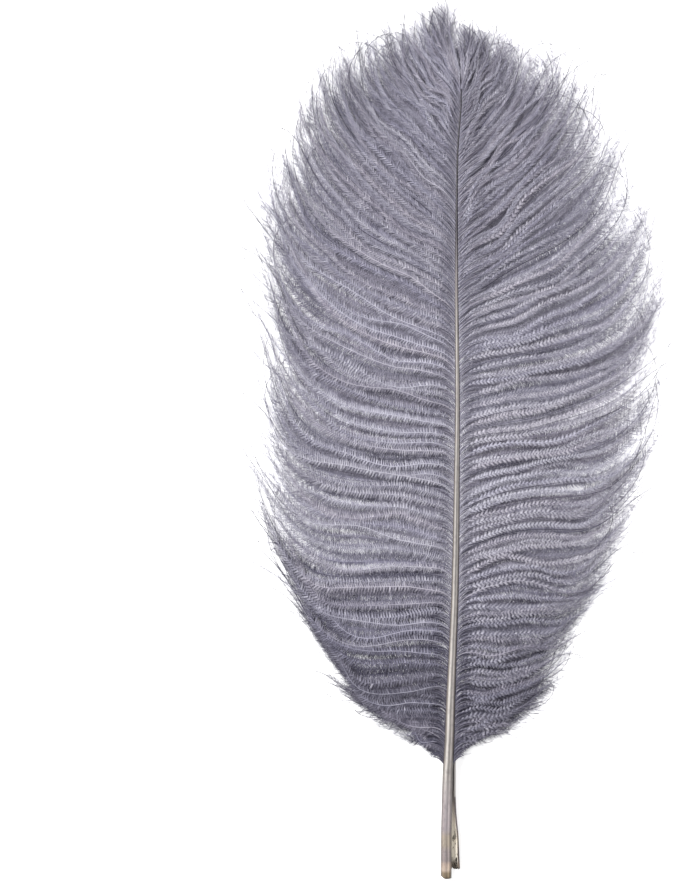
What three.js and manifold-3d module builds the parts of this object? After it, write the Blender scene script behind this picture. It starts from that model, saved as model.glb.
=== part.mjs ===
// An ostrich plume lying flat on a table with its quill towards -Y and its tip towards +Y.
// Millimetres, +Z up. The origin is the middle of the plume's outline, on the table.
// The shaft is one grown piece: a hollow quill, split lengthwise at its cut end, that narrows into
// the rachis. The soft barbs of each side are a closed cushion that arches from the shaft down to the
// table and reaches out to the barb tips.

import * as THREE from "three";
import { mergeVertices } from "three/addons/utils/BufferGeometryUtils.js";
import Module from "manifold-3d";

// Ends of the pieces along the plume.
const cutEndY = -220;
const rearCutEndY = -216;
const splitTopY = -156;
const leftFirstBarbY = -157;
const rightFirstBarbY = -149.5;
const shaftTipY = 180;
const plumeTipY = 217;

// The shaft's bow off the table: its middle stands highest.
const restHeight = 2.8;
const bowHeight = 8;

// The quill's wall, and how the two split halves stand apart.
const quillWall = 0.7;
const frontLift = 0.5;
const rearHeight = 2.75;
const splitOverlap = 6;
const shaftRise = 1.04; // the shaft's height over its width

// The soft sides.
const vaneGap = 0.35; // clear space between the shaft and each side
const rootRise = 1.5; // how far the barbs' roots stand above the shaft's middle
const rootDepth = 4.5; // thickness of the layer of barbs along the shaft
const edgeDepth = 1.6; // the same at the barb tips
const puff = 2; // how much more it is halfway out
const settleOut = 0.6; // the share of the way out at which the layer comes down on the table

// How finely the surfaces are divided.
const shaftSides = 18;
const shaftStep = 8;
const splitStep = 5;
const vaneSections = 52;
const crownPoints = 11; // from the shaft to the barb tips

// The midline's sideways place along the plume: [y, x].
const midline = [
  [-220, -8.3],
  [-196, -8.3],
  [-180, -8],
  [-165, -7.6],
  [-150, -6.8],
  [-129, -6.3],
  [-101, -5.2],
  [-78, -4.3],
  [-50, -3.7],
  [22, -2.9],
  [78, -3.4],
  [124, -3.2],
  [150, -2.7],
  [172, -0.8],
  [186, -0.8],
  [202, -3.8],
  [220, -7.8],
];

// The shaft's width along the plume: [y, width].
const shaftWidth = [
  [-220, 5.2],
  [-165, 5],
  [-129, 4.5],
  [-101, 3.8],
  [-60, 3.4],
  [22, 2.2],
  [78, 1.6],
  [124, 1],
  [150, 0.8],
  [180, 0.6],
];

// The sideways place of the quill's rear half, which has sprung out to the right: [y, x].
const rearMidline = [
  [-216, -4],
  [-206, -4.4],
  [-197, -4.8],
  [-190, -5.6],
  [-180, -6.2],
  [-165, -6.2],
  [-156, -6.3],
  [-150, -6.8],
];

// Each side's outline through the barb tips, from the first barbs up to the plume's tip: [x, y].
const leftOutline = [
  [-14, -156],
  [-26, -149],
  [-53, -138],
  [-70, -110],
  [-88, -78],
  [-101, -46],
  [-106, -12],
  [-107, 24],
  [-105, 85],
  [-95, 130],
  [-82, 166],
  [-60, 194],
  [-36, 210],
  [-12, 220],
];
const rightOutline = [
  [1, -151],
  [24, -148],
  [46, -132],
  [60, -106],
  [76, -66],
  [93, -28],
  [106, 14],
  [106, 45],
  [99, 100],
  [84, 144],
  [63, 177],
  [38, 199],
  [14, 211],
  [-4, 219],
];

// Reads a two-column list at a place between its rows.
function between(rows, place) {
  const next = rows.findIndex(([start]) => start >= place);
  if (next === 0) return rows[0][1];
  if (next < 0) return rows[rows.length - 1][1];
  const [fromPlace, from] = rows[next - 1];
  const [toPlace, to] = rows[next];
  return THREE.MathUtils.mapLinear(place, fromPlace, toPlace, from, to);
}

// The height of the shaft's middle above the table.
function shaftHeight(y) {
  const along = THREE.MathUtils.inverseLerp(cutEndY, plumeTipY, y);
  return restHeight + bowHeight * Math.sin(Math.PI * THREE.MathUtils.clamp(along, 0, 1));
}

// A closed body through rings of equal point count. A ring runs clockwise seen along the loft.
function loft(rings) {
  const count = rings[0].length;
  const positions = rings.flat().flatMap((point) => point.toArray());
  const faces = [];
  for (let ring = 0; ring < rings.length - 1; ring += 1) {
    for (let side = 0; side < count; side += 1) {
      const here = ring * count + side;
      const beside = ring * count + ((side + 1) % count);
      faces.push(here, here + count, beside, beside, here + count, beside + count);
    }
  }
  const cap = THREE.ShapeUtils.triangulateShape(
    rings[0].map((point) => new THREE.Vector2(point.x, point.z)),
    [],
  );
  const lastRing = (rings.length - 1) * count;
  for (const [a, b, c] of cap) {
    faces.push(a, b, c);
    faces.push(lastRing + a, lastRing + c, lastRing + b);
  }
  const geometry = new THREE.BufferGeometry();
  geometry.setAttribute("position", new THREE.Float32BufferAttribute(positions, 3));
  geometry.setIndex(faces);
  return geometry;
}

// Places from one end to the other, about one step apart.
function placesAlong(from, to, step) {
  const count = Math.ceil((to - from) / step);
  return Array.from({ length: count + 1 }, (_, i) => THREE.MathUtils.lerp(from, to, i / count));
}

// A point on the shaft's oval outline at a place along it, moved inwards by inset.
function ovalPoint(centre, width, inset, angle) {
  const across = width / 2 - inset;
  const upright = (width * shaftRise) / 2 - inset;
  return new THREE.Vector3(
    centre.x + across * Math.cos(angle),
    centre.y,
    centre.z + upright * Math.sin(angle),
  );
}

// The solid rachis, from inside the quill's top up to its thread-thin end.
function rachisGeometry() {
  const rings = placesAlong(splitTopY, shaftTipY, shaftStep).map((y) => {
    const centre = new THREE.Vector3(between(midline, y), y, shaftHeight(y));
    const width = between(shaftWidth, y);
    return Array.from({ length: shaftSides }, (_, side) =>
      ovalPoint(centre, width, 0, (side / shaftSides) * 2 * Math.PI),
    );
  });
  return loft(rings);
}

// One half of the split quill: a trough of even wall, open below or above.
function troughGeometry(startY, centreAt, firstAngle) {
  const rings = placesAlong(startY, splitTopY + splitOverlap, splitStep).map((y) => {
    const centre = centreAt(y);
    const width = between(shaftWidth, y);
    const half = shaftSides / 2;
    const angles = Array.from({ length: half + 1 }, (_, i) => firstAngle + (i / half) * Math.PI);
    const outer = angles.map((angle) => ovalPoint(centre, width, 0, angle));
    const inner = angles.map((angle) => ovalPoint(centre, width, quillWall, angle));
    return [...outer, ...inner.reverse()];
  });
  return loft(rings);
}

// The front half carries on the shaft's own line, raised a little at its cut end.
function frontCentre(y) {
  const open = THREE.MathUtils.smoothstep(-y, -splitTopY, -cutEndY);
  return new THREE.Vector3(between(midline, y), y, shaftHeight(y) + frontLift * open);
}

// The rear half lies lower and swings out to the right.
function rearCentre(y) {
  const open = THREE.MathUtils.smoothstep(-y, -splitTopY, -rearCutEndY);
  const height = THREE.MathUtils.lerp(shaftHeight(y), rearHeight, open);
  return new THREE.Vector3(between(rearMidline, y), y, height);
}

const wasm = await Module();
wasm.setup();

// A closed mesh as a solid that can be joined with others.
function solidOf(geometry) {
  const merged = mergeVertices(geometry);
  return new wasm.Manifold(
    new wasm.Mesh({
      numProp: 3,
      vertProperties: merged.attributes.position.array,
      triVerts: new Uint32Array(merged.index.array),
    }),
  );
}

function geometryOf(solid) {
  const mesh = solid.getMesh();
  const geometry = new THREE.BufferGeometry();
  geometry.setAttribute("position", new THREE.BufferAttribute(mesh.vertProperties, 3));
  geometry.setIndex(new THREE.BufferAttribute(mesh.triVerts, 1));
  geometry.computeVertexNormals();
  return geometry;
}

// The whole shaft: the rachis and both halves of the split quill, grown together.
function shaftGeometry() {
  const front = solidOf(troughGeometry(cutEndY, frontCentre, 0));
  const rear = solidOf(troughGeometry(rearCutEndY, rearCentre, Math.PI));
  return geometryOf(solidOf(rachisGeometry()).add(front).add(rear));
}

// Heights of the underside and the top of a side's layer. Along runs from the first barbs to the
// plume's tip, and out from the shaft to the barb tips, both 0 to 1.
function layerHeights(rootY, along, out) {
  const rootUnder = Math.max(0, shaftHeight(rootY) + rootRise - rootDepth);
  const under = rootUnder * (1 - THREE.MathUtils.smoothstep(out, 0, settleOut));
  const swell = puff * Math.sin(Math.PI * along) * Math.sin(Math.PI * out);
  const depth = THREE.MathUtils.lerp(rootDepth, edgeDepth, out ** 1.5) + swell;
  return [under, under + depth];
}

// One soft side, from its roots along the shaft out to its outline. Side is -1 left, 1 right.
function vaneGeometry(outline, firstBarbY, side) {
  const tips = new THREE.CatmullRomCurve3(outline.map(([x, y]) => new THREE.Vector3(x, y, 0)));
  const rings = Array.from({ length: vaneSections + 1 }, (_, section) => {
    const along = section / vaneSections;
    const tip = tips.getPointAt(along);
    const rootY = THREE.MathUtils.lerp(firstBarbY, plumeTipY, along);
    const halfShaft = rootY < shaftTipY ? between(shaftWidth, rootY) / 2 : 0;
    const rootX = between(midline, rootY) + side * (halfShaft + vaneGap);
    const crown = [];
    const underside = [];
    for (let i = 0; i < crownPoints; i += 1) {
      const out = i / (crownPoints - 1);
      const x = THREE.MathUtils.lerp(rootX, tip.x, out);
      const y = THREE.MathUtils.lerp(rootY, tip.y, out);
      const [under, top] = layerHeights(rootY, along, out);
      crown.push(new THREE.Vector3(x, y, top));
      underside.push(new THREE.Vector3(x, y, under));
    }
    const ring = [...crown, ...underside.reverse()];
    return side > 0 ? ring.reverse() : ring;
  });
  return loft(rings);
}

const hornMaterial = new THREE.MeshStandardMaterial({
  color: 0xb0a8a4,
  roughness: 0.45,
  metalness: 0,
});
const leftBarbMaterial = new THREE.MeshStandardMaterial({
  color: 0x938fa3,
  roughness: 0.9,
  metalness: 0,
});
const rightBarbMaterial = leftBarbMaterial.clone();

const shaft = new THREE.Mesh(shaftGeometry(), hornMaterial);
shaft.name = "shaft";

const leftVane = new THREE.Mesh(vaneGeometry(leftOutline, leftFirstBarbY, -1), leftBarbMaterial);
leftVane.name = "left_vane";

const rightVane = new THREE.Mesh(vaneGeometry(rightOutline, rightFirstBarbY, 1), rightBarbMaterial);
rightVane.name = "right_vane";

const feather = new THREE.Group();
feather.add(shaft, leftVane, rightVane);

export default feather;
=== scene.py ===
"""Ostrich plume: the horn shaft, the soft barbs of both sides and a plain studio.
"""

from types import SimpleNamespace

import bpy
import numpy as np
from bpy.props import EnumProperty, FloatProperty, FloatVectorProperty, IntProperty, PointerProperty
from bpy.types import Operator, Panel, PropertyGroup
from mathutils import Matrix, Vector


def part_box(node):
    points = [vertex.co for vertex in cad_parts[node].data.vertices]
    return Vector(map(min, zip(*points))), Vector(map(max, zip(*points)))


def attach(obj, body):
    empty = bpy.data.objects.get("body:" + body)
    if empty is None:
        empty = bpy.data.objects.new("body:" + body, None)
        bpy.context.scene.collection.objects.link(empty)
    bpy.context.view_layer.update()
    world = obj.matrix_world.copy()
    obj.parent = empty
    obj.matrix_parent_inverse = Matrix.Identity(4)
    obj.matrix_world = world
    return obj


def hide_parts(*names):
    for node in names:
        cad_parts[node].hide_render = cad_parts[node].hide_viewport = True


bl_info = {
    "name": "Ostrich Plume",
    "version": (1, 0, 0),
    "blender": (4, 5, 0),
    "location": "View3D > Sidebar > Plume",
    "description": "Shaft, barbs and studio of an ostrich plume lying on a table",
    "category": "Add Mesh",
}

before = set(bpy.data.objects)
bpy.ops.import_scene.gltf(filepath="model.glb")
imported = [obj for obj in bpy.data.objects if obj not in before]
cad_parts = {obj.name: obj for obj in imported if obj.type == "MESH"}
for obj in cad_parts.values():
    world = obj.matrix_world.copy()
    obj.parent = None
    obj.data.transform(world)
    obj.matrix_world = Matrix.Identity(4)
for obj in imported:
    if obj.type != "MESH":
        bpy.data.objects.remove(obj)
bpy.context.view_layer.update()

MM = 0.001
SHAFT_LOW, SHAFT_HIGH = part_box("shaft")
LEFT_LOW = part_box("left_vane")[0]

# The quill is split below this place, where the first barbs grow.
SPLIT_TOP = LEFT_LOW.y + 1 * MM
SPLIT_NEST = 3 * MM  # above it, how far the solid shaft still lies inside the two halves
SPLIT_OVERLAP = 6 * MM  # above it, how far the halves reach before they end inside the solid shaft
RIM_TONE = 0.96  # place across the horn's painted highlight and shade stripes whose dark edge tone colours the split walls' bare rims
PAINTED_LIT_RIM = -179 * MM  # above this place on the plume the bare rims are painted pale instead, as painted light

OUTER_REACH = 111 * MM  # tips further to the side are held back
TABLE_GAP = 0.35 * MM  # lowest place of a barb's stem
COMB_SPACING = 0.56 * MM
COMB_RADIUS = 0.19 * MM
COMB_RINGS = 6
COMB_PLACES = (0, 80 * MM, 180 * MM)
STRIP = 0.004  # half the width of a fibre's strip on its map
LOOSE_SHARE = 0.34  # of the barbs that are neither lead nor bed
TUFT_STARTS = 0.16  # share of the barbs that start a new tuft
CURVE_POINTS = 72  # on a guide curve, before it is cut into a stem's rings
SHAFT_SEED = 5
UP = np.array([0.0, 0.0, 1.0])

# The middle of the view, and the height above the table at which its field is measured.
AIM_X, AIM_Y, FIELD_HEIGHT = -62.4 * MM, 1.8 * MM, 8 * MM
KEY_PLACE = (-1.0, 0.7, 1.5)
KEY_SIZE = 0.5
SENSOR_WIDTH = 36

# Guide barbs, from the quill up to the plume's end. Each row says where on the shaft it grows,
# how far to the side and how far up the plume its tip lies, in millimetres, its angle from the
# plume's length as it crosses the side and as it ends, in degrees, and how long it keeps to each
# of the two, as a share of its span. Rows past the shaft's end fan out from it.
LEFT_GUIDES = np.array([
    (-160, -36, -148, 36, 76, 0.40),
    (-156, -49, -141.5, 38, 86, 0.42),
    (-151.5, -58.5, -134, 54, 72, 0.42),
    (-146, -65, -122, 70, 56, 0.42),
    (-139, -75, -110, 94, 46, 0.48),
    (-129, -74, -92, 104, 36, 0.58),
    (-118, -92, -68, 104, 34, 0.60),
    (-106, -101, -53, 100, 34, 0.62),
    (-89, -104, -33, 94, 28, 0.62),
    (-68, -112, -9, 92, 22, 0.62),
    (-50, -110, 13, 80, 20, 0.58),
    (-30, -105, 42, 80, 10, 0.58),
    (-8, -103, 69, 90, 8, 0.58),
    (12, -104, 96, 92, 12, 0.50),
    (34, -103, 125, 86, 4, 0.48),
    (54, -100, 148, 76, 0, 0.44),
    (72, -88, 170, 68, -4, 0.42),
    (90, -77, 189, 56, -6, 0.42),
    (108, -68, 204, 46, -8, 0.40),
    (126, -58, 211, 42, -8, 0.40),
    (142, -47, 215, 40, -6, 0.40),
    (158, -36, 218, 36, -4, 0.40),
    (174, -25, 220, 30, 0, 0.40),
    (190, -14, 229, 20, 4, 0.40),
    (206, -5, 229, 6, -6, 0.40),
]) * (MM, MM, MM, 1, 1, 1)
RIGHT_GUIDES = np.array([
    (-160, 14, -149.5, 30, 94, 0.42),
    (-151, 34, -141, 68, 74, 0.40),
    (-142, 48, -126, 84, 60, 0.42),
    (-132, 57, -113, 96, 56, 0.50),
    (-120, 63, -98, 98, 54, 0.52),
    (-106, 69, -82, 92, 46, 0.55),
    (-92, 76, -65, 86, 38, 0.58),
    (-80, 84, -46, 80, 30, 0.60),
    (-68, 91, -26, 76, 26, 0.60),
    (-50, 101, 3, 74, 26, 0.56),
    (-30, 109, 31, 74, 24, 0.54),
    (-8, 108, 58, 76, 16, 0.50),
    (12, 102, 82, 80, 10, 0.50),
    (32, 106, 110, 80, 10, 0.52),
    (50, 99, 137, 74, 2, 0.52),
    (66, 84, 156, 64, -4, 0.46),
    (80, 74, 177, 54, -6, 0.44),
    (94, 66, 192, 42, -10, 0.44),
    (108, 57, 204, 34, -12, 0.42),
    (122, 48, 211, 36, -12, 0.42),
    (138, 37, 214, 36, -8, 0.40),
    (154, 24, 217, 34, -4, 0.40),
    (170, 13, 217, 28, 0, 0.40),
    (186, 5, 217, 16, 2, 0.40),
    (206, -3, 219, 2, 0, 0.40),
]) * (MM, MM, MM, 1, 1, 1)

# How far barbules stand open from their barb halfway out, by place along the plume: mm, degrees.
LEFT_OPENING = np.array([(-150, 62), (-100, 78), (40, 72), (90, 40), (180, 24)]) * (MM, 1)
RIGHT_OPENING = np.array([(-150, 56), (-60, 54), (40, 50), (100, 32), (180, 22)]) * (MM, 1)

# What sets the two sides apart: a name, and its values left and right. The left side shows pale
# stems over wide-open barbules, and the right one lies in closer rows. Barbs are of four kinds:
# lead barbs on top, a bed below, loose ones that stray, and the rest.
SIDE_TABLE = (
    ("word", "left", "right"),
    ("sign", -1, 1),
    ("seed", 11, 23),
    ("guides", LEFT_GUIDES, RIGHT_GUIDES),
    ("opening", LEFT_OPENING, RIGHT_OPENING),
    ("crowd", 0.0, 0.35),  # how much closer the barbs stand low down
    ("lead_gaps", (4, 7), (2, 7)),  # barbs from one lead barb to the next: fewest, and too many
    ("proud_every", 1, 9),  # of so many lead barbs, one can show a pale stem
    ("reach", 1.0, 0.97),  # length of all barbs but the loose ones
    ("wave", 4.6, 4.0),  # size of the waves that a tuft shares, in millimetres
    ("shades", (0.58, 0.37, 0.48), (0.76, 0.52, 0.63)),  # of lead, bed and other barbs: lead barbs on top painted pale as painted light, the bed below painted dark as painted shade
    ("calm", 0.35, 0.65),  # how much these even out towards the plume's end
    ("gleam", 0.09, 0.15),  # how much paler the middle of a bundle of barbules is painted, a painted highlight
    ("bundle", 1.0, 1.45),  # length of a bundle, as a share of the one in the settings
    ("tip_cling", 0.25, 0.1),  # how much the tips of a bundle draw together
    ("laid", 30, 40),  # angle of the bed's barbules far out, in degrees
    ("barbule_reach", (0.9, 1.1), (0.68, 1.25)),  # of lead and bed barbs
    ("thin_from", (0.56, 0.48), (0.6, 0.44)),  # share of a bed or other barb where it gets thin
    ("fuller", 0.12, 0.0),  # how much further out that is on the upper barbs
    ("comb_growth", 0.1, 0.7),  # how much longer the comb's strands are higher up
    ("comb_turn", 0, 14),  # how much wider they leave the shaft there, in degrees
    ("comb_open", (84, 56, 40), (84, 68, 54)),  # their last angle at each of COMB_PLACES
    ("comb_rise", 0.2, 0.7),  # how much higher they stand
)
LEFT, RIGHT = (SimpleNamespace(**{row[0]: row[side] for row in SIDE_TABLE}) for side in (1, 2))
PARTS = ("base", "lower", "upper", "tip")  # stretches of one side, each a piece


# ---- small helpers


def ease(start, end, value):
    """0 before start, 1 after end, and an even S-curve between."""
    part = np.clip((value - start) / (end - start), 0, 1)
    return part * part * (3 - 2 * part)


def drift(rng, place, spacing):
    """Slow random change along place, from -1 to 1, with a knot at every spacing."""
    at = (place - place.min()) / spacing
    low = at.astype(int)
    knots = rng.uniform(-1, 1, low.max() + 2)
    return knots[low] + (knots[low + 1] - knots[low]) * ease(0, 1, at - low)


def drift_sheet(rng, place, other, spacing, other_spacing):
    """Slow random change over two directions at once, from -1 to 1."""
    at = (place - place.min()) / spacing
    to = (other - other.min()) / other_spacing
    low = at.astype(int)
    left = to.astype(int)
    knots = rng.uniform(-1, 1, (low.max() + 2, left.max() + 2))
    up = ease(0, 1, at - low)
    over = ease(0, 1, to - left)
    near = knots[low, left] + (knots[low, left + 1] - knots[low, left]) * over
    far = knots[low + 1, left] + (knots[low + 1, left + 1] - knots[low + 1, left]) * over
    return near + (far - near) * up


def unit(vectors):
    """The same vectors with length 1."""
    return vectors / np.maximum(np.linalg.norm(vectors, axis=-1, keepdims=True), 1e-12)


def node_points(node):
    """The points of a CAD piece, one row each."""
    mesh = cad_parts[node].data
    points = np.empty(len(mesh.vertices) * 3, np.float32)
    mesh.vertices.foreach_get("co", points)
    return points.reshape(-1, 3).astype(float)


def mesh_piece(name, points, faces, materials, face_slots=None, smooth=True, flat=None,
               map_name=""):
    """A joined mesh object from arrays. flat is its map, with one UV pair for each corner."""
    mesh = bpy.data.meshes.new(name)
    corners = faces.shape[1]
    mesh.vertices.add(len(points))
    mesh.vertices.foreach_set("co", points.astype(np.float32).ravel())
    mesh.loops.add(faces.size)
    mesh.loops.foreach_set("vertex_index", faces.astype(np.int32).ravel())
    mesh.polygons.add(len(faces))
    mesh.polygons.foreach_set("loop_start", np.arange(0, faces.size, corners, dtype=np.int32))
    if flat is not None:
        layer = mesh.uv_layers.new(name=map_name)
        layer.data.foreach_set("uv", flat.astype(np.float32).ravel())
    for material in materials:
        mesh.materials.append(material)
    if face_slots is not None:
        mesh.polygons.foreach_set("material_index", face_slots.astype(np.int32))
    mesh.polygons.foreach_set("use_smooth", np.full(len(faces), smooth))
    mesh.update(calc_edges=True)
    mesh.validate()
    piece = bpy.data.objects.new(name, mesh)
    bpy.context.collection.objects.link(piece)
    return piece


# ---- the shaft's course, read from the frame


def shaft_rings():
    """The CAD shaft's rings of points from the cut end up, and whether each is of the rear half."""
    points = node_points("shaft")
    level = np.round(points[:, 1] / (0.1 * MM)).astype(int)
    for place in np.unique(level):
        ring = points[level == place]
        low, high = ring.min(0), ring.max(0)
        if SPLIT_TOP - 1 * MM < high[1] < SPLIT_TOP + SPLIT_OVERLAP + 1 * MM:
            continue
        floor = ring[ring[:, 2] < low[2] + 0.15 * MM]
        narrow_below = np.ptp(floor[:, 0]) < (high[0] - low[0]) / 2
        split = high[1] < SPLIT_TOP
        yield ring, low, high, split, split and narrow_below


def shaft_course():
    """Rows of y, x, z and width along the main line. Below the split it is the front half's."""
    rows = []
    for ring, low, high, split, rear in shaft_rings():
        if not rear:
            height = low[2] if split else (low[2] + high[2]) / 2
            rows.append((ring[0, 1], (low[0] + high[0]) / 2, height, high[0] - low[0]))
    return np.array(rows)


def at_course(course, places):
    """The x, z and width of a course at places along the plume."""
    return (np.interp(places, course[:, 0], course[:, column]) for column in (1, 2, 3))


def up_shaft(place):
    """A place on the plume as a share of the shaft's length."""
    return (place - SHAFT_LOW.y) / (SHAFT_HIGH.y - SHAFT_LOW.y)


def rear_course():
    """The same rows along the quill's rear half, which ends on the main line."""
    rows = []
    for ring, low, high, split, rear in shaft_rings():
        if rear or not split:
            height = high[2] if rear else (low[2] + high[2]) / 2
            rows.append((ring[0, 1], (low[0] + high[0]) / 2, height, high[0] - low[0]))
        if not split:
            break
    return np.array(rows)


# ---- settings


class PlumeShaftSettings(PropertyGroup):
    sides: IntProperty(
        name="Sides", description="Faces around the shaft", default=40, min=12)
    step: FloatProperty(
        name="Step", description="Length of one ring of faces", default=1.5 * MM, unit="LENGTH")
    wall: FloatProperty(
        name="Quill wall", description="Thickness of the split quill's wall",
        default=0.62 * MM, unit="LENGTH")
    groove: FloatProperty(
        name="Groove", description="Depth of the furrow along the shaft, as a share of its width",
        default=0.05, subtype="FACTOR", min=0, max=0.3)
    fullness: FloatProperty(
        name="Fullness", description="The shaft's width over that of its plain solid", default=1.06)
    horn_colour: FloatVectorProperty(
        name="Horn", description="Main colour of the shaft", subtype="COLOR", size=3,
        default=(0.42, 0.405, 0.385))
    pith_colour: FloatVectorProperty(
        name="Pith", description="Colour inside the split quill", subtype="COLOR", size=3,
        default=(0.97, 0.92, 0.83))


class PlumeBarbSettings(PropertyGroup):
    barbs: IntProperty(
        name="Barbs", description="Barbs on each side of the shaft", default=470, min=20)
    rings: IntProperty(
        name="Rings", description="Points along each barb's stem", default=24, min=6)
    stem_radius: FloatProperty(
        name="Stem radius", description="Half the thickness of a barb's stem at its root",
        default=0.13 * MM, unit="LENGTH")
    proud_radius: FloatProperty(
        name="Proud stem radius", description="The same for a barb that stands out of its tuft",
        default=0.26 * MM, unit="LENGTH")
    pitch: FloatProperty(
        name="Barbule pitch", description="Space between barbules along a barb",
        default=0.195 * MM, unit="LENGTH")
    barbule_length: FloatProperty(
        name="Barbule length", description="Length of a full barbule",
        default=3.3 * MM, unit="LENGTH")
    barbule_width: FloatProperty(
        name="Barbule width", description="Width of a barbule at its foot",
        default=0.17 * MM, unit="LENGTH")
    bundle: FloatProperty(
        name="Bundle", description="Length of barb whose barbules cling together",
        default=1.25 * MM, unit="LENGTH")
    # The darkest and palest colours also serve as painted shade on deep barbs and painted light on
    # top ones.
    shade_colour: FloatVectorProperty(
        name="Shade", description="Dye at its darkest", subtype="COLOR", size=3,
        default=(0.07, 0.067, 0.10))
    body_colour: FloatVectorProperty(
        name="Body", description="Main dye colour", subtype="COLOR", size=3,
        default=(0.31, 0.30, 0.37))
    light_colour: FloatVectorProperty(
        name="Light", description="Dye at its palest", subtype="COLOR", size=3,
        default=(0.62, 0.61, 0.68))


class PlumeStageSettings(PropertyGroup):
    floor_size: FloatProperty(
        name="Floor size", description="Side of the square floor", default=9.0, unit="LENGTH")
    lens: FloatProperty(
        name="Lens", description="Focal length of the camera", default=85.0, unit="CAMERA")
    field: FloatProperty(
        name="Field", description="Length of table that the camera sees, at the plume's height",
        default=445.4 * MM, unit="LENGTH")
    key_power: FloatProperty(
        name="Key power", description="Power of the large soft light", default=42.0, unit="POWER")
    fill: FloatProperty(
        name="Fill", description="Strength of the light from all round", default=0.5)
    floor_glow: FloatProperty(
        name="Floor glow", description="Light given off by the floor", default=0.6)


# ---- materials


def new_material(name):
    """A material with its Principled shader, ready for more nodes."""
    material = bpy.data.materials.new(name)
    material.use_nodes = True
    tree = material.node_tree
    return material, tree, tree.nodes["Principled BSDF"]


def colour_ramp(tree, value, stops):
    """The colour that a value gives on a ramp of places and colours."""
    ramp = tree.nodes.new("ShaderNodeValToRGB")
    elements = ramp.color_ramp.elements
    while len(elements) < len(stops):
        elements.new(0.5)
    for element, (place, colour) in zip(elements, stops):
        element.position = place
        element.color = (*colour, 1)
    tree.links.new(value, ramp.inputs["Fac"])
    return ramp.outputs["Color"]


def band_ramp(tree, along, bands):
    """The same with rows that give a place on the plume, in millimetres, and the colour there."""
    return colour_ramp(tree, along, [(up_shaft(place * MM), colour) for place, colour in bands])


def map_values(tree, name):
    """A map's value across and its value up."""
    flat = tree.nodes.new("ShaderNodeUVMap")
    flat.uv_map = name
    split = tree.nodes.new("ShaderNodeSeparateXYZ")
    tree.links.new(flat.outputs["UV"], split.inputs["Vector"])
    return split.outputs["X"], split.outputs["Y"]


def remap(tree, value, before, after=(0, 1)):
    """A value carried from one range to another."""
    carried = tree.nodes.new("ShaderNodeMapRange")
    ends = ("From Min", "From Max", "To Min", "To Max")
    for end, number in zip(ends, (*before, *after)):
        carried.inputs[end].default_value = number
    tree.links.new(value, carried.inputs["Value"])
    return carried.outputs["Result"]


def blend(tree, amount, first, second, way="MIX"):
    """Two colours in one. The amount and each colour are an output to link or a plain value."""
    mix = tree.nodes.new("ShaderNodeMix")
    mix.data_type = "RGBA"
    mix.blend_type = way
    for name, given in (("Factor", amount), ("A", first), ("B", second)):
        if isinstance(given, bpy.types.NodeSocket):
            tree.links.new(given, mix.inputs[name])
        else:
            mix.inputs[name].default_value = given
    return mix.outputs["Result"]


def relief(tree, height, strength, depth):
    """The normal of a surface raised by a value."""
    bump = tree.nodes.new("ShaderNodeBump")
    bump.inputs["Strength"].default_value = strength
    bump.inputs["Distance"].default_value = depth
    tree.links.new(height, bump.inputs["Height"])
    return bump.outputs["Normal"]


def grain_group():
    """The grain of horn and pith: noise stretched over the piece's own coordinates."""
    group = bpy.data.node_groups.get("grown_grain")
    if group:
        return group
    group = bpy.data.node_groups.new("grown_grain", "ShaderNodeTree")
    for name, kind in (("Stretch", "Vector"), ("Detail", "Float"), ("Distortion", "Float")):
        group.interface.new_socket(name=name, in_out="INPUT", socket_type=f"NodeSocket{kind}")
    group.interface.new_socket(name="Grain", in_out="OUTPUT", socket_type="NodeSocketFloat")
    nodes, links = group.nodes, group.links
    given = nodes.new("NodeGroupInput")
    place = nodes.new("ShaderNodeTexCoord")
    stretched = nodes.new("ShaderNodeVectorMath")
    stretched.operation = "MULTIPLY"
    links.new(place.outputs["Object"], stretched.inputs[0])
    links.new(given.outputs["Stretch"], stretched.inputs[1])
    noise = nodes.new("ShaderNodeTexNoise")
    noise.inputs["Scale"].default_value = 1.0
    links.new(stretched.outputs["Vector"], noise.inputs["Vector"])
    for name in ("Detail", "Distortion"):
        links.new(given.outputs[name], noise.inputs[name])
    result = nodes.new("NodeGroupOutput")
    links.new(noise.outputs["Fac"], result.inputs["Grain"])
    return group


def grain(tree, stretch, detail, distortion=0.0):
    """The grain group, placed in a material with its own values."""
    placed = tree.nodes.new("ShaderNodeGroup")
    placed.node_tree = grain_group()
    placed.inputs["Stretch"].default_value = stretch
    placed.inputs["Detail"].default_value = detail
    placed.inputs["Distortion"].default_value = distortion
    return placed.outputs["Grain"]


def down_material(settings):
    """Dyed down. A map on every fibre gives its shade across and its tint up; the shade carries the
    dye's own tone and also painted light and shade, pale on top barbs and dark on deep ones.
    """
    material, tree, shader = new_material("dyed_down")
    shade_at, tint_at = map_values(tree, "OFBake")
    shade = colour_ramp(tree, shade_at, [
        (0.0, settings.shade_colour),
        (0.5, settings.body_colour),
        (1.0, settings.light_colour),
    ])
    tint = colour_ramp(tree, tint_at, [
        (0.0, (0.96, 0.955, 1.0)),
        (0.45, (1.0, 1.0, 1.0)),
        (1.0, (1.0, 0.965, 0.965)),
    ])
    dyed = blend(tree, 1.0, shade, tint, "MULTIPLY")
    tree.links.new(dyed, shader.inputs["Base Color"])
    dullness = remap(tree, shade_at, (0, 1), (0.85, 0.55))
    tree.links.new(dullness, shader.inputs["Roughness"])
    shader.inputs["Specular IOR Level"].default_value = 0.25
    return material


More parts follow.
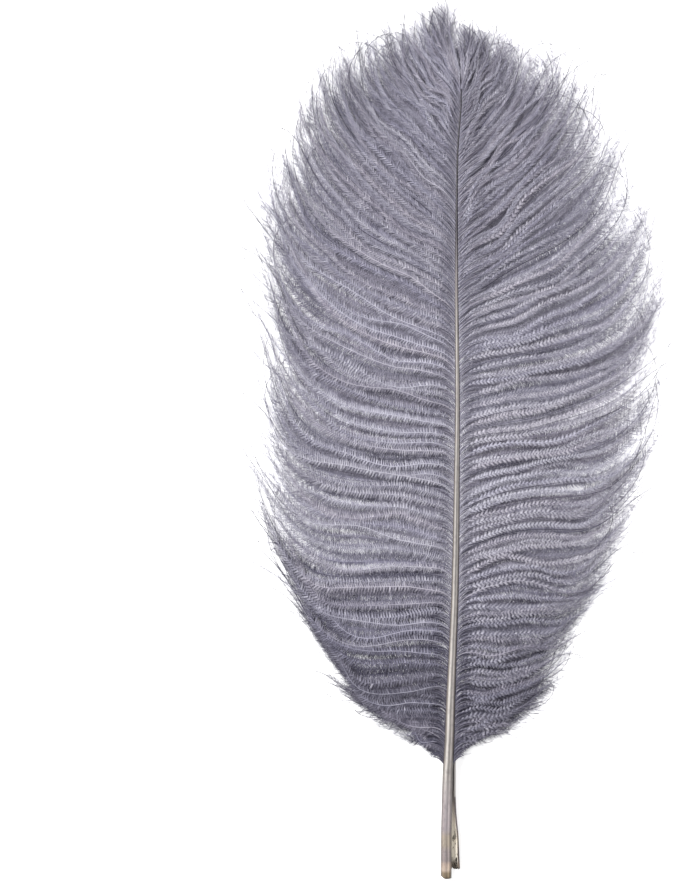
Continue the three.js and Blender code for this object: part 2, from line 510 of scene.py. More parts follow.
def horn_material(settings):
    """The shaft's horn: banded along its length and streaked, with painted highlight stripes,
    painted shade at its edges and painted shade towards the plume's end.
    """
    material, tree, shader = new_material("horn")
    across, along = map_values(tree, "Round")
    horn = np.array(settings.horn_colour)
    bands = band_ramp(tree, along, [
        (-220, (0.19, 0.15, 0.10)),
        (-217.5, (0.34, 0.275, 0.19)),
        (-216.2, (0.31, 0.25, 0.175)),
        (-215.4, (0.66, 0.56, 0.46)),
        (-212.4, (0.61, 0.50, 0.41)),
        (-211.3, (0.35, 0.315, 0.31)),
        (-204.8, (0.39, 0.35, 0.345)),
        (-203.6, (0.44, 0.39, 0.32)),
        (-197.5, (0.47, 0.42, 0.345)),
        (-195.8, (0.45, 0.415, 0.425)),
        (-180, (0.49, 0.46, 0.465)),
        (-168, 1.22 * horn),
        (-120, 1.32 * horn),
        (-60, 1.05 * horn),
        (50, 1.02 * horn),
        # From here up the horn is painted dark, nearly black at the end: painted shade of the gap
        # between the vanes.
        (86, (0.26, 0.245, 0.25)),
        (108, (0.05, 0.046, 0.055)),
        (180, (0.025, 0.023, 0.03)),
    ])
    # Painted highlight stripes along the shaft and quill, with painted shade at their edges and in
    # the furrow.
    shaft_highlight_and_shade = colour_ramp(tree, across, [
        (0.0, (0.16, 0.14, 0.14)),
        (0.06, (0.34, 0.32, 0.31)),
        (0.17, (0.62, 0.6, 0.58)),
        (0.27, (1.3, 1.3, 1.28)),
        (0.35, (1.2, 1.2, 1.18)),
        (0.45, (0.66, 0.65, 0.65)),
        (0.58, (0.62, 0.61, 0.61)),
        (0.68, (0.9, 0.89, 0.89)),
        (0.78, (0.6, 0.58, 0.57)),
        (0.88, (0.34, 0.32, 0.31)),
        (1.0, (0.16, 0.14, 0.14)),
    ])
    quill_highlight_and_shade = colour_ramp(tree, across, [
        (0.0, (0.16, 0.14, 0.14)),
        (0.07, (0.42, 0.39, 0.38)),
        (0.2, (0.9, 0.88, 0.87)),
        (0.4, (0.78, 0.77, 0.78)),
        (0.58, (0.8, 0.79, 0.8)),
        (0.66, (1.25, 1.22, 1.2)),
        (0.74, (1.0, 0.98, 0.96)),
        (0.83, (0.56, 0.53, 0.52)),
        (0.94, (0.46, 0.43, 0.42)),
        (1.0, (0.16, 0.14, 0.14)),
    ])
    to_shaft = remap(tree, along, (up_shaft(-184 * MM), up_shaft(-164 * MM)))
    highlight_and_shade = blend(tree, to_shaft, quill_highlight_and_shade, shaft_highlight_and_shade)
    streaks = grain(tree, (2400, 70, 2400), 4)
    streak_tone = colour_ramp(tree, streaks, [
        (0.32, (0.7, 0.68, 0.69)),
        (0.66, (1.0, 1.0, 1.0)),
    ])
    mottle = grain(tree, (700, 420, 700), 5, 0.6)
    mottle_tone = colour_ramp(tree, mottle, [
        (0.34, (0.78, 0.74, 0.76)),
        (0.5, (1.0, 0.99, 0.98)),
        (0.68, (1.0, 0.93, 0.94)),
    ])
    tone = blend(tree, 1.0, bands, highlight_and_shade, "MULTIPLY")
    tone = blend(tree, 0.8, tone, streak_tone, "MULTIPLY")
    tone = blend(tree, 0.8, tone, mottle_tone, "MULTIPLY")
    tree.links.new(tone, shader.inputs["Base Color"])
    tree.links.new(remap(tree, mottle, (0, 1), (0.24, 0.46)), shader.inputs["Roughness"])
    tree.links.new(relief(tree, streaks, 0.4, 0.1 * MM), shader.inputs["Normal"])
    shader.inputs["Specular IOR Level"].default_value = 0.35
    return material


def pith_material(settings):
    """The dry lining of the split quill, cracked near the cut end and painted dark with shade
    further inside.
    """
    material, tree, shader = new_material("pith")
    _, along = map_values(tree, "Round")
    pith = np.array(settings.pith_colour)
    bands = band_ramp(tree, along, [
        (-220, (0.10, 0.085, 0.07)),
        (-212.6, (0.2, 0.17, 0.14)),
        (-210.5, pith),
        (-199, pith),
        (-193, 0.95 * pith),
        # Further up, inside the closed quill, the lining is painted darker: painted shade.
        (-184, (0.72, 0.67, 0.62)),
        (-180, (0.44, 0.415, 0.395)),
        (-160, (0.4, 0.38, 0.365)),
    ])
    cracks = grain(tree, (520, 260, 520), 4, 0.9)
    crack_tone = colour_ramp(tree, cracks, [
        (0.0, (0.03, 0.025, 0.02)),
        (0.41, (0.06, 0.05, 0.045)),
        (0.45, (0.95, 0.93, 0.9)),
        (0.7, (1.0, 1.0, 1.0)),
    ])
    cracked = remap(tree, along, (up_shaft(-192 * MM), up_shaft(-202 * MM)))
    lining = blend(tree, cracked, (1, 1, 1, 1), crack_tone)
    tone = blend(tree, 1.0, bands, lining, "MULTIPLY")
    tree.links.new(tone, shader.inputs["Base Color"])
    shader.inputs["Roughness"].default_value = 0.8
    tree.links.new(relief(tree, cracks, 0.8, 0.3 * MM), shader.inputs["Normal"])
    return material


# ---- the shaft


def loft(rings):
    """Quads through rings of points, shaped rings x points x 3, closed around."""
    count, around = rings.shape[:2]
    here = (np.arange(count - 1) * around)[:, None] + np.arange(around)[None, :]
    beside = (np.arange(count - 1) * around)[:, None] + (np.arange(around)[None, :] + 1) % around
    quads = np.stack([here, beside, beside + around, here + around], axis=-1)
    return rings.reshape(-1, 3), quads.reshape(-1, 4)


def shaft_section(angles, groove):
    """An oval with a furrow just right of its crown. Returns x and z, about 1 at the sides."""
    furrow = np.exp(-((angles - np.radians(76)) / 0.2) ** 2)
    ridge = np.exp(-((angles - np.radians(104)) / 0.24) ** 2)
    swell = 1 - groove * (2.2 * furrow - 0.8 * ridge)
    return np.cos(angles) * swell, 1.04 * np.sin(angles) * swell


def shaft_arrays(rng, settings):
    """Points, quads, material slots and a map around and along the shaft."""
    course = shaft_course()
    rear = rear_course()
    half_sides = settings.sides // 2

    def ring_grid(part_course, start, end, section):
        places = np.arange(start, end + settings.step / 2, settings.step)
        x, z, width = at_course(part_course, places)
        width = width * settings.fullness
        across, upright, around = section(places, width)
        grid = np.stack([
            x[:, None] + across,
            np.broadcast_to(places[:, None], across.shape),
            z[:, None] + upright,
        ], axis=-1)
        return grid, around

    def closed(places, width):
        angles = np.linspace(-np.pi / 2, 1.5 * np.pi, settings.sides, endpoint=False)[None, :]
        fade = ease(SHAFT_HIGH.y * 0.6, SHAFT_LOW.y * 0.5, places)[:, None]
        x, z = shaft_section(angles, settings.groove * fade)
        # Its first stretch lies inside the two halves.
        nested = ease(SPLIT_TOP + SPLIT_NEST, SPLIT_TOP, places)[:, None]
        half = width[:, None] / 2 * (1 - 0.1 * nested)
        return half * x, half * z, np.broadcast_to(angles, x.shape)

    def split_half(first, last, groove, wall):
        def section(places, width):
            fray = drift(rng, places, 9 * MM)[:, None], drift(rng, places, 7 * MM)[:, None]
            open_end = ease(SPLIT_TOP, SPLIT_TOP - 20 * MM, places)[:, None]
            share = np.linspace(0, 1, half_sides)[None, :]
            start = np.radians(first + 5 * fray[0] * open_end)
            stop = np.radians(last + 5 * fray[1] * open_end)
            angles = start + (stop - start) * share
            x, z = shaft_section(angles, groove)
            # Its last stretch lies inside the solid shaft.
            nested = ease(SPLIT_TOP + SPLIT_NEST, SPLIT_TOP + SPLIT_OVERLAP, places)[:, None]
            half = width[:, None] / 2 * (1 - 0.08 * nested)
            inner = half - wall * (1 + 0.12 * fray[0])
            return (np.concatenate([half * x, (inner * x)[:, ::-1]], axis=1),
                    np.concatenate([half * z, (inner * z)[:, ::-1]], axis=1),
                    np.concatenate([angles, angles[:, ::-1]], axis=1))
        return section

    rachis, rachis_around = ring_grid(course, SPLIT_TOP, SHAFT_HIGH.y, closed)
    halves_end = SPLIT_TOP + SPLIT_OVERLAP
    front, front_around = ring_grid(
        course, SHAFT_LOW.y, halves_end, split_half(-4, 184, settings.groove, settings.wall))
    back, back_around = ring_grid(
        rear, rear[0, 0], halves_end, split_half(178, 362, 0, 1.3 * settings.wall))

    # The front half is cut on a slant, the rear one is torn.
    near_cut = 1 - ease(0, 5 * MM, front[..., 1] - SHAFT_LOW.y)
    to_left = (front[..., 0].max(1, keepdims=True) - front[..., 0]) / np.ptp(front[..., 0])
    front[..., 1] += near_cut * (1.7 * MM * ease(0.45, 1, to_left) + 0.3 * MM * (1 - to_left))
    near_tear = 1 - ease(0, 6 * MM, back[..., 1] - rear[0, 0])
    tear = np.abs(drift(rng, np.arange(back.shape[1]), 2.3))
    back[..., 1] += near_tear * 1.6 * MM * tear

    total = 0
    points, quads, slots, maps, rims = [], [], [], [], []
    for grid, around, shell in (
            (rachis, rachis_around, False), (front, front_around, True), (back, back_around, True)):
        part_points, part_quads = loft(grid)
        count = grid.shape[1]
        column = np.tile(np.arange(count), len(grid) - 1)
        inside = (column >= half_sides) & (column < count - 1)
        slots.append((shell & inside).astype(int))
        rims.append(shell & ((column == half_sides - 1) | (column == count - 1)))
        flat = np.stack([
            0.5 + 0.49 * np.cos(np.broadcast_to(around, grid.shape[:2])),
            up_shaft(grid[..., 1]),
        ], axis=-1).reshape(-1, 2)
        points.append(part_points)
        quads.append(part_quads + total)
        step = np.arange(count // 2 - 1)
        cap = np.stack([step, count - 1 - step, count - 2 - step, step + 1], axis=-1)
        last = (len(grid) - 1) * count
        quads.append(cap + total)
        quads.append(cap[:, ::-1] + total + last)
        slots.append(np.ones(2 * len(cap), int))
        rims.append(np.zeros(2 * len(cap), bool))
        maps.append(flat)
        total += len(part_points)
    quads = np.concatenate(quads)[:, ::-1]
    flat = np.concatenate(maps)[quads]
    # The bare rims of the split walls take the dark edge tone of the horn's stripes, and above a
    # set place the pale pith colour instead, as painted light.
    bare = np.concatenate(rims)
    flat[bare, :, 0] = RIM_TONE
    slots = np.concatenate(slots)
    slots[bare & (flat[:, :, 1].mean(1) > up_shaft(PAINTED_LIT_RIM))] = 1
    return np.concatenate(points), quads, slots, flat.reshape(-1, 2)


class PLUME_OT_shaft(Operator):
    """Make the quill and rachis, with the quill's split end"""

    bl_idname = "plume.shaft"
    bl_label = "Shaft"

    def execute(self, context):
        settings = context.scene.plume_shaft
        rng = np.random.default_rng(SHAFT_SEED)
        points, quads, slots, flat = shaft_arrays(rng, settings)
        materials = [horn_material(settings), pith_material(settings)]
        shaft = mesh_piece(
            "plume_shaft", points, quads, materials, slots, flat=flat, map_name="Round")
        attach(shaft, "root")
        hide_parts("shaft")
        return {"FINISHED"}


# ---- barbs


def guide_paths(side, grow, roots, reach, rings):
    """Curves that follow the guide barbs. Returns rings of x and y, and each curve's length."""
    guides, sign = side.guides, side.sign
    tip_x, tip_y, cross, end, keep = (
        np.interp(grow, guides[:, 0], guides[:, c]) for c in range(1, 6))
    cross, end = np.radians(cross), np.radians(end)
    tips = np.stack([tip_x, tip_y], axis=-1)
    span = np.linalg.norm(tips - roots, axis=1, keepdims=True)
    keep = keep[:, None] * span
    leave = roots + keep * np.stack([sign * np.sin(cross), np.cos(cross)], axis=-1)
    arrive = tips - keep * np.stack([sign * np.sin(end), np.cos(end)], axis=-1)
    u = np.linspace(0, 1, CURVE_POINTS)[None, :, None]
    roots, leave, arrive, tips = (part[:, None] for part in (roots, leave, arrive, tips))
    curve = ((1 - u) ** 3 * roots + 3 * u * (1 - u) ** 2 * leave
             + 3 * u * u * (1 - u) * arrive + u ** 3 * tips)
    steps = np.linalg.norm(np.diff(curve, axis=1), axis=2)
    run = np.concatenate([np.zeros((len(grow), 1)), np.cumsum(steps, axis=1)], axis=1)
    lengths = run[:, -1] * reach
    t = np.linspace(0, 1, rings)
    paths = np.empty((len(grow), rings, 2))
    for barb in range(len(grow)):
        for axis in (0, 1):
            paths[barb, :, axis] = np.interp(t * lengths[barb], run[barb], curve[barb, :, axis])
    return paths, lengths


def barb_paths(rng, side, settings):
    """The stem of every barb on one side: its points, and what sets it apart."""
    guides = side.guides
    count, rings = settings.barbs, settings.rings
    t = np.linspace(0, 1, rings)[None, :]

    # Barbs stand closest at the quill and where they fan out towards the plume's end.
    spots = np.linspace(guides[0, 0], guides[-1, 0], 200)
    crowd = 1 + 0.9 * ease(-110 * MM, -145 * MM, spots) + 0.78 * ease(10 * MM, 80 * MM, spots)
    crowd += side.crowd * ease(-125 * MM, -95 * MM, spots) * ease(-20 * MM, -55 * MM, spots)
    crowd = np.cumsum(crowd) - crowd[0]
    place = (np.arange(count) + rng.uniform(0.05, 0.95, count)) / count * crowd[-1]
    grow = np.interp(place, crowd, spots)
    on_shaft = np.minimum(grow, SHAFT_HIGH.y)
    shaft_x, root_z, width = at_course(shaft_course(), on_shaft)
    roots = np.stack([shaft_x + side.sign * 0.42 * width, on_shaft], axis=-1)

    # Every few barbs one lies on top of the others, and some of those show a pale stem.
    # Of the rest, half fill the bed below and some stray.
    lead = np.zeros(count, bool)
    picks = np.cumsum(rng.integers(*side.lead_gaps, count // 3))
    picks = picks[picks < count]
    lead[picks] = True
    proud = np.zeros(count, bool)
    proud[picks[::side.proud_every]] = True
    hidden = 0.2 + 0.75 * ease(30 * MM, 80 * MM, grow) + 0.3 * ease(-15 * MM, -60 * MM, grow)
    proud &= rng.random(count) > hidden
    rest = np.flatnonzero(~lead)
    bed = np.zeros(count, bool)
    bed[rest[::2]] = True
    loose = (rng.random(count) < LOOSE_SHARE) & ~lead & ~bed

    # The barbs between them cling together in tufts.
    tuft = np.cumsum(rng.random(count) < TUFT_STARTS)
    number = tuft[-1] + 1
    members = np.bincount(tuft, minlength=number)
    follows = np.select([bed, loose, lead], [0.15, 0.5, 0.8], 1.0)[:, None]

    reach = rng.uniform(0.84, 1.0, count) * rng.uniform(0.97, 1.0, number)[tuft]
    reach = np.where(bed, rng.uniform(0.82, 1.0, count), reach) * side.reach
    reach = np.where(loose, rng.uniform(0.94, 1.12, count), reach)
    paths, lengths = guide_paths(side, grow, roots, reach, rings)
    run = t * lengths[:, None]

    # A barb leaves the shaft steeply and bends over within a few millimetres.
    cross = np.interp(grow, guides[:, 0], guides[:, 3])
    rise = 5 * MM * ease(25, 80, cross)[:, None]
    paths[..., 1] -= rise * np.exp(-run / (4.5 * MM))

    # Slow waves that neighbours share.
    over = unit(np.gradient(paths, axis=1))
    over = np.stack([-over[..., 1], over[..., 0]], axis=-1)
    tall, share = grow[:, None] + 0 * t, t + 0 * grow[:, None]
    sway = 1.7 * MM * drift_sheet(rng, tall, share, 17 * MM, 0.24)
    sway += follows * side.wave * MM * drift_sheet(rng, tall, share, 6 * MM, 0.2)
    sway *= 1 - 0.6 * ease(0.45, 0.85, t)
    sway *= ease(0.02, 0.25, t) * ease(200 * MM, 150 * MM, grow)[:, None]
    own = drift_sheet(rng, np.arange(count)[:, None] + 0 * t, share, 1, 0.22)
    wander = np.where(proud, 2.4, 0.4)[:, None] * ease(0.04, 0.2, t)
    wander = wander + np.where(bed, 0.3, 1.6)[:, None] * ease(0.4, 0.9, t)
    sway += wander * MM * own
    spread = np.where(bed, 0.6, 3.4)[:, None] * MM * rng.normal(0, 1, count)[:, None]
    sway += spread * ease(0.45, 1.0, t)
    paths += over * sway[..., None]

    # Tufts draw together on the way out, most at their tips.
    centre = np.zeros((number, rings, 2))
    np.add.at(centre, tuft, paths)
    centre /= members[:, None, None]
    cling = rng.uniform(0.0, 1.0, number)[tuft][:, None] * follows
    pull = cling * (0.25 * ease(0.04, 0.3, t) - 0.2 * ease(0.6, 0.95, t))
    paths += (centre[tuft] - paths) * pull[..., None]

    # The outer part of a barb strays a little, and a loose tip hooks over.
    stray = rng.normal(0, 1, count) * (np.where(bed, 0.7, 4) + 6 * ease(150 * MM, 190 * MM, grow))
    hook = rng.normal(0.35, 1, count) * np.select([loose, bed], [62, 8], 24)
    bend = stray[:, None] * ease(0.4, 0.7, t) + hook[:, None] * ease(0.66, 1.04, t) ** 1.5
    turn = -side.sign * np.radians(bend[:, 1:])
    step = np.diff(paths, axis=1)
    step = np.stack([step[..., 0] * np.cos(turn) - step[..., 1] * np.sin(turn),
                     step[..., 0] * np.sin(turn) + step[..., 1] * np.cos(turn)], axis=-1)
    paths[:, 1:] = paths[:, :1] + np.cumsum(step, axis=1)

    # The outermost tips are held back near the outline.
    past = np.maximum(np.abs(paths[..., 0]) - OUTER_REACH, 0)
    paths[..., 0] -= 0.7 * past * np.sign(paths[..., 0])

    # The barbs lie over each other between the table and the crown.
    layer = 0.3 + 0.3 * rng.random(number)[tuft] + rng.normal(0, 0.05, count)
    layer = np.where(bed, rng.uniform(0, 0.3, count), layer)
    layer = np.where(lead, rng.uniform(0.8, 0.9, count), layer) + 0.08 * proud
    layer = np.clip(layer, 0.0, 1.0)
    under = np.maximum(0.4 * MM, (root_z[:, None] - 3 * MM) * (1 - ease(0.05, 0.6, t)))
    crown = 2.6 * MM + (root_z[:, None] + 0.4 * MM) * (1 - ease(0.1, 0.98, t))
    height = under + (crown - under) * layer[:, None]
    height += 0.5 * MM * drift_sheet(rng, tall, share, 12 * MM, 0.25)
    settle = ease(0, 8 * MM, run)
    height = (root_z + 0.1 * width)[:, None] * (1 - settle) + height * settle
    height = np.maximum(height, TABLE_GAP)
    points = np.concatenate([paths, height[..., None]], axis=-1)
    return SimpleNamespace(
        points=points, grow=grow, lengths=lengths, tuft=tuft,
        lead=lead, proud=proud, loose=loose, bed=bed)


def along_path(points, barb, t):
    """Points and directions at shares t along the given barbs' stems."""
    rings = points.shape[1]
    at = np.clip(t * (rings - 1), 0, rings - 1.0001)
    low = at.astype(int)
    part = (at - low)[:, None]
    here, there = points[barb, low], points[barb, low + 1]
    before = points[barb, np.maximum(low - 1, 0)]
    after = points[barb, np.minimum(low + 2, rings - 1)]
    # A cubic through four rings keeps the barbules on a smooth stem.
    place = 0.5 * ((2 * here) + (there - before) * part
                   + (2 * before - 5 * here + 4 * there - after) * part ** 2
                   + (3 * here - before - 3 * there + after) * part ** 3)
    direction = unit((there - before) * (1 - part) + (after - here) * part)
    return place, direction


def tube_arrays(points, radius, shade, tint):
    """Three-sided tubes along rows of points, with a radius, shade and tint at every ring."""
    count, rings = points.shape[:2]
    tangent = unit(np.gradient(points, axis=1))
    over = unit(np.cross(tangent, UP))
    up = np.cross(over, tangent)
    corners = [points + radius[..., None] * (np.cos(turn) * over + np.sin(turn) * up)
               for turn in np.radians((90, 210, 330))]
    verts = np.stack(corners, axis=2).reshape(-1, 3)
    index = np.arange(count * rings * 3).reshape(count, rings, 3)
    flat = np.stack([shade, tint], axis=-1)
    faces, maps = [], []
    for edge in range(3):
        here, beside = index[..., edge], index[..., (edge + 1) % 3]
        faces.append(np.stack([here[:, :-1], here[:, 1:], beside[:, 1:]], -1).reshape(-1, 3))
        faces.append(np.stack([here[:, :-1], beside[:, 1:], beside[:, :-1]], -1).reshape(-1, 3))
        low, high = flat + (0, -STRIP), flat + (0, STRIP)
        maps.append(np.stack([low[:, :-1], low[:, 1:], high[:, 1:]], 2).reshape(-1, 3, 2))
        maps.append(np.stack([low[:, :-1], high[:, 1:], high[:, :-1]], 2).reshape(-1, 3, 2))
    return verts, np.concatenate(faces), np.concatenate(maps)


def stem_arrays(barbs, chosen, settings, shade, tint):
    """The stems of the chosen barbs. A proud one is pale near its root and then fades."""
    points = barbs.points[chosen]
    t = np.linspace(0, 1, points.shape[1])[None, :]
    proud, loose = barbs.proud[chosen][:, None], barbs.loose[chosen][:, None]
    thick = np.where(proud, settings.proud_radius, settings.stem_radius)
    radius = thick * np.where(loose, 1.5 - 0.5 * t, 1 - 0.7 * t)
    lost = np.random.default_rng(len(chosen)).uniform(0.12, 0.5, len(chosen))[:, None]
    fade = np.where(proud, 0.55 * ease(0, 0.3, t - lost), 0.12 * t)
    ring_shade = np.clip(shade[chosen][:, None] - fade, 0.02, 0.96)
    return tube_arrays(points, radius, ring_shade, tint[chosen][:, None] + 0 * t)


def comb_arrays(rng, side, start, end):
    """The close comb of fine down along the shaft, between two places on it."""
    grow = np.arange(start, end, COMB_SPACING)
    count = len(grow)
    grow += rng.uniform(-0.12, 0.12, count) * MM
    shaft_x, root_z, width = at_course(shaft_course(), grow)
    upper = ease(0, 80 * MM, grow)
    stretch = 1 + side.comb_growth * ease(10 * MM, 90 * MM, grow)
    stretch = stretch - 0.7 * ease(130 * MM, 180 * MM, grow)
    length = rng.uniform(7, 12, count) * MM * stretch

    # A strand opens from its first angle to its last on the way out.
    t = np.linspace(0, 1, COMB_RINGS)[None, :]
    first = (34 + side.comb_turn * upper)[:, None]
    last = np.interp(grow, COMB_PLACES, side.comb_open)[:, None]
    angle = np.radians(first + (last - first) * ease(0, 1, t))
    angle += rng.normal(0, 0.05, count)[:, None]
    middle = (angle[:, 1:] + angle[:, :-1]) / 2
    step = (length / (COMB_RINGS - 1))[:, None]
    zero = np.zeros((count, 1))
    x = np.concatenate([zero, np.cumsum(side.sign * np.sin(middle) * step, axis=1)], axis=1)
    y = np.concatenate([zero, np.cumsum(np.cos(middle) * step, axis=1)], axis=1)
    rise = rng.uniform(1.6, 2.8, count)[:, None] * MM * t
    rise = rise * (1 + side.comb_rise * upper)[:, None]
    points = np.stack([
        (shaft_x + side.sign * 0.44 * width)[:, None] + x,
        (grow - 2 * MM)[:, None] + y,
        (root_z + 0.08 * width)[:, None] + rise,
    ], axis=-1)

    # Pale and dark strands take turns, and the turns are longer towards the plume's end.
    dark_base = 0.42 * ease(-60 * MM, -125 * MM, grow)
    radius = COMB_RADIUS * (1 - 0.75 * t) * rng.uniform(0.7, 1.3, (count, 1))
    radius *= 1 + 1.2 * dark_base[:, None]
    upper = ease(0, 90 * MM, grow)
    turns = np.cumsum(1 / (2 + 1.2 * upper))
    striped = 0.6 - (0.24 + 0.08 * upper) * np.cos(2 * np.pi * turns)
    shade = np.clip(striped + rng.normal(0, 0.09, count) - dark_base, 0.06, 0.95)
    shade = np.maximum(shade[:, None] - 0.1 * t, 0.02)
    tint = rng.uniform(0.02, 0.97, (count, 1)) + 0 * t
    return tube_arrays(points, radius, shade, tint)


def barbule_arrays(rng, side, barbs, chosen, settings, shade, tint):
    """One thin tapering blade for every barbule of the chosen barbs."""
    everyone = len(barbs.lengths)
    pitch = settings.pitch * np.select(
        [barbs.lead, barbs.loose, barbs.bed], [0.62, 2.4, 1.2], 1.5)[chosen]
    number = (barbs.lengths[chosen] / pitch).astype(int)
    barb = np.repeat(chosen, number)
    order = np.concatenate([np.arange(n) for n in number])
    length, grow = barbs.lengths[barb], barbs.grow[barb]
    lead, loose, bed = barbs.lead[barb], barbs.loose[barb], barbs.bed[barb]
    wide_open = np.interp(grow, side.opening[:, 0], side.opening[:, 1])
    wide_open = np.where(bed, np.maximum(wide_open, 68), wide_open)
    laid = np.where(bed, side.laid, 12)
    full_from = np.where(bed, 5, 11) * MM
    lead_reach, bed_reach = side.barbule_reach
    reach_share = np.select([lead, bed, loose], [lead_reach, bed_reach, 0.4], 0.75)
    steady = np.where(lead, 0.4, 1.0)
    foot_cling = np.where(bed, 0.0, 0.3)
    tip_cling = np.where(bed, 0.0, side.tip_cling)
    calm = 1 - 0.75 * ease(0, 70 * MM, grow)
    thin_from = np.where(bed, *side.thin_from) + side.fuller * ease(20 * MM, 70 * MM, grow)
    thin_most = np.select([bed, loose], [0.85, 0.96], 0.6)
    blades, maps = [], []
    for hand in (-1, 1):
        along = (order + rng.random(len(order))) / np.repeat(number, number) * length

        # Barbules of one bundle share their foot, lean, length, lift and tone.
        phase = rng.random(everyone)[barb]
        span = settings.bundle * side.bundle * rng.uniform(0.8, 1.25, everyone)[barb]
        scaled = along / span + phase
        bundle = scaled.astype(int)
        within = scaled - bundle - 0.5
        table = rng.normal(0, 1, (5, everyone, bundle.max() + 1))
        lean_by, long_by, lift_by, tone_by = table[:4, barb, bundle]
        stretch_by = table[4, barb, bundle // 7]
        along = np.clip(along - foot_cling * within * span, 0, length)
        t = along / length
        foot, direction = along_path(barbs.points, barb, t)
        over = unit(np.cross(direction, UP)) * hand
        up = np.cross(over, direction) * hand

        # Further out they lie closer to the barb and grow longer.
        far = ease(0.4, 0.85, t)
        angle = np.radians(wide_open + (laid - wide_open) * far + 3 * lean_by + 6 * stretch_by)
        angle = angle + 0.06 * steady * rng.normal(0, 1, len(t))
        reach = settings.barbule_length * (0.1 + 0.9 * ease(0.1 * full_from, full_from, along))
        reach = reach * (1 + 0.4 * far - 1.0 * ease(0.84, 1.0, t)) * (1 + 0.14 * long_by)
        reach = reach * reach_share
        reach = np.maximum(reach * (1 + 0.12 * steady * rng.normal(0, 1, len(t))), 0.3 * MM)
        lift = np.radians(7 * lift_by + 5 * steady * rng.normal(0, 1, len(t)) - 4 - 9 * lead)
        outward = over * np.cos(lift)[:, None] + up * np.sin(lift)[:, None]
        way = direction * np.cos(angle)[:, None] + outward * np.sin(angle)[:, None]
        tip = foot + way * reach[:, None]
        tip -= direction * (tip_cling * within * span)[:, None]
        tip[:, 2] = np.maximum(tip[:, 2], 0.08 * MM)
        half = settings.barbule_width / 2 * (1 - 0.25 * t) * np.where(bed, 2.8 - 1.4 * far, 1.0)
        roll = rng.uniform(-0.6, 0.6, len(t))
        wide = direction * np.cos(roll)[:, None] + up * np.sin(roll)[:, None]
        blade = np.stack([foot - wide * half[:, None], foot + wide * half[:, None], tip], axis=1)

        # Painted highlight on the middle of a bundle, and painted shade on its sides.
        gleam = side.gleam * calm * np.cos(2 * np.pi * within) * (1 - bed)
        # Stretches of the bed get painted shade, and other barbs a little random tone.
        gleam += np.where(bed, -0.2 * (stretch_by > 0.7), 0.035 * stretch_by)
        u = np.clip(shade[barb] + gleam + (0.03 + 0.06 * lead) * tone_by, 0.02, 0.88)
        v = tint[barb]
        flat = np.stack([
            np.stack([u, v - STRIP], -1),
            np.stack([u, v + STRIP], -1),
            np.stack([u + 0.03 + 0.08 * lead, v], -1),
        ], axis=1)

        # Barbules thin out over the outer half, and on the last barbs at the plume's end.
        thin = thin_most * ease(thin_from, thin_from + 0.34, t)
        thin = np.maximum(thin, 0.75 * ease(180 * MM, 200 * MM, grow) * ease(0.3, 0.6, t))
        kept = rng.random(len(t)) > thin
        blades.append(blade[kept])
        maps.append(flat[kept])
    verts = np.concatenate(blades).reshape(-1, 3)
    return verts, np.arange(len(verts)).reshape(-1, 3), np.concatenate(maps)


def join_arrays(parts):
    """Joins points, faces and maps of several parts into one."""
    faces, total = [], 0
    for points, part_faces, _ in parts:
        faces.append(part_faces + total)
        total += len(points)
    return (np.concatenate([points for points, _, _ in parts]), np.concatenate(faces),
            np.concatenate([flat for _, _, flat in parts]))


def build_side(settings, side):
    """All barbs of one side, as one piece for each stretch of the shaft."""
    rng = np.random.default_rng(side.seed)
    barbs = barb_paths(rng, side, settings)
    count = len(barbs.lengths)
    grow, lead, tuft = barbs.grow, barbs.lead, barbs.tuft
    tint = rng.uniform(0.02, 0.97, count)
    own = rng.normal(0, 0.045, tuft.max() + 1)[tuft] + rng.normal(0, 0.05, count)
    dusk = 0.28 * ease(-65 * MM, -115 * MM, grow)
    # Lead barbs on top get painted light and the bed below painted shade, over each barb's own
    # random tone.
    lead_shade, bed_shade, rest_shade = side.shades
    blade_shade = np.select([lead, barbs.bed], [lead_shade, bed_shade], rest_shade)
    calm = side.calm * ease(0, 90 * MM, grow)
    blade_shade += (0.5 - blade_shade) * calm + own * (1 - 0.5 * calm) - dusk
    blade_shade = np.clip(blade_shade - 0.3 * dusk * lead, 0.03, 0.8)
    stem_shade = np.select([barbs.proud, barbs.loose, lead], [0.98, 0.16, 0.6], 0.38)
    stem_shade = np.clip(stem_shade + own - dusk, 0.03, 0.95)
    material = bpy.data.materials.get("dyed_down") or down_material(settings)

    # The pieces hold about the same length of barb.
    share = np.cumsum(barbs.lengths) / barbs.lengths.sum()
    ends = np.searchsorted(share, np.arange(1, len(PARTS)) / len(PARTS))
    for part, chosen in zip(PARTS, np.split(np.arange(count), ends)):
        start, end = grow[chosen[0]], min(grow[chosen[-1]], SHAFT_HIGH.y - 1 * MM)
        points, faces, flat = join_arrays([
            stem_arrays(barbs, chosen, settings, stem_shade, tint),
            comb_arrays(rng, side, start, end),
            barbule_arrays(rng, side, barbs, chosen, settings, blade_shade, tint),
        ])
        name = f"{side.word}_barbs_{part}"
        piece = mesh_piece(
            name, points, faces, [material], smooth=False, flat=flat, map_name="OFBake")
        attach(piece, "root")
        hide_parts(f"{side.word}_vane")


class PLUME_OT_barbs(Operator):
    """Make the barbs and barbules of one side"""

    bl_idname = "plume.barbs"
    bl_label = "Barbs"

    side: EnumProperty(
        name="Side", description="Which side of the shaft",
        items=[("LEFT", "Left", ""), ("RIGHT", "Right", "")])

    def execute(self, context):
        build_side(context.scene.plume_barbs, LEFT if self.side == "LEFT" else RIGHT)
        return {"FINISHED"}


# ---- studio


def area_light(name, place, target, size, power):
    """A round soft light that shines from a place towards a target."""
    light = bpy.data.lights.new(name, "AREA")
    light.shape = "DISK"
    light.size = size
    light.energy = power
    lamp = bpy.data.objects.new(name, light)
    bpy.context.collection.objects.link(lamp)
    lamp.location = place
    way = Vector(target) - Vector(place)
    lamp.rotation_euler = way.to_track_quat("-Z", "Y").to_euler()


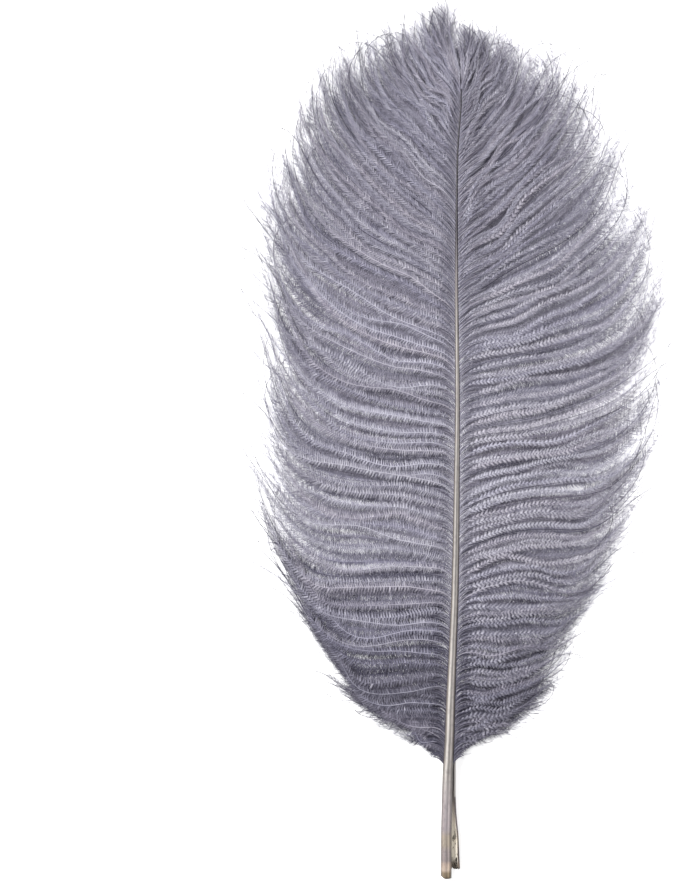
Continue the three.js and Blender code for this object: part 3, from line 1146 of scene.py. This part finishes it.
class PLUME_OT_stage(Operator):
    """Make the floor, the soft light and the camera"""

    bl_idname = "plume.stage"
    bl_label = "Stage"

    def execute(self, context):
        scene = context.scene
        settings = scene.plume_stage
        scene.view_settings.view_transform = "Standard"

        half = settings.floor_size / 2
        corners = np.array([(-half, -half, 0), (half, -half, 0), (half, half, 0), (-half, half, 0)])
        material, _, shader = new_material("pale_floor")
        shader.inputs["Base Color"].default_value = (0.9, 0.9, 0.9, 1)
        shader.inputs["Roughness"].default_value = 0.9
        shader.inputs["Specular IOR Level"].default_value = 0.1
        shader.inputs["Emission Color"].default_value = (1, 1, 1, 1)
        shader.inputs["Emission Strength"].default_value = settings.floor_glow
        floor = mesh_piece("floor", corners, np.array([[0, 1, 2, 3]]), [material])

        world = bpy.data.worlds.new("soft_room")
        scene.world = world
        world.use_nodes = True
        background = world.node_tree.nodes["Background"]
        background.inputs["Color"].default_value = (1, 1, 1, 1)
        background.inputs["Strength"].default_value = settings.fill

        area_light("key_light", KEY_PLACE, (0, 0, 0), KEY_SIZE, settings.key_power)

        camera = bpy.data.cameras.new("camera")
        camera.lens = settings.lens
        camera.sensor_width = SENSOR_WIDTH
        seat = bpy.data.objects.new("camera", camera)
        context.collection.objects.link(seat)
        distance = settings.field * settings.lens / SENSOR_WIDTH
        seat.location = (AIM_X, AIM_Y, distance + FIELD_HEIGHT)
        scene.camera = seat
        return {"FINISHED"}


# ---- panel and registration


class PLUME_PT_panel(Panel):
    """Buttons for each piece of the plume"""

    bl_label = "Ostrich Plume"
    bl_idname = "PLUME_PT_panel"
    bl_space_type = "VIEW_3D"
    bl_region_type = "UI"
    bl_category = "Plume"

    def draw(self, context):
        column = self.layout.column()
        column.operator(PLUME_OT_stage.bl_idname)
        column.operator(PLUME_OT_shaft.bl_idname)
        column.operator(PLUME_OT_barbs.bl_idname, text="Left barbs").side = "LEFT"
        column.operator(PLUME_OT_barbs.bl_idname, text="Right barbs").side = "RIGHT"


CLASSES = (
    PlumeShaftSettings,
    PlumeBarbSettings,
    PlumeStageSettings,
    PLUME_OT_shaft,
    PLUME_OT_barbs,
    PLUME_OT_stage,
    PLUME_PT_panel,
)


def register():
    for cls in CLASSES:
        bpy.utils.register_class(cls)
    bpy.types.Scene.plume_shaft = PointerProperty(type=PlumeShaftSettings)
    bpy.types.Scene.plume_barbs = PointerProperty(type=PlumeBarbSettings)
    bpy.types.Scene.plume_stage = PointerProperty(type=PlumeStageSettings)


def unregister():
    del bpy.types.Scene.plume_stage
    del bpy.types.Scene.plume_barbs
    del bpy.types.Scene.plume_shaft
    for cls in reversed(CLASSES):
        bpy.utils.unregister_class(cls)


def main():
    register()
    bpy.ops.plume.stage()
    bpy.ops.plume.shaft()
    bpy.ops.plume.barbs(side="LEFT")
    bpy.ops.plume.barbs(side="RIGHT")


if __name__ == "__main__":
    main()
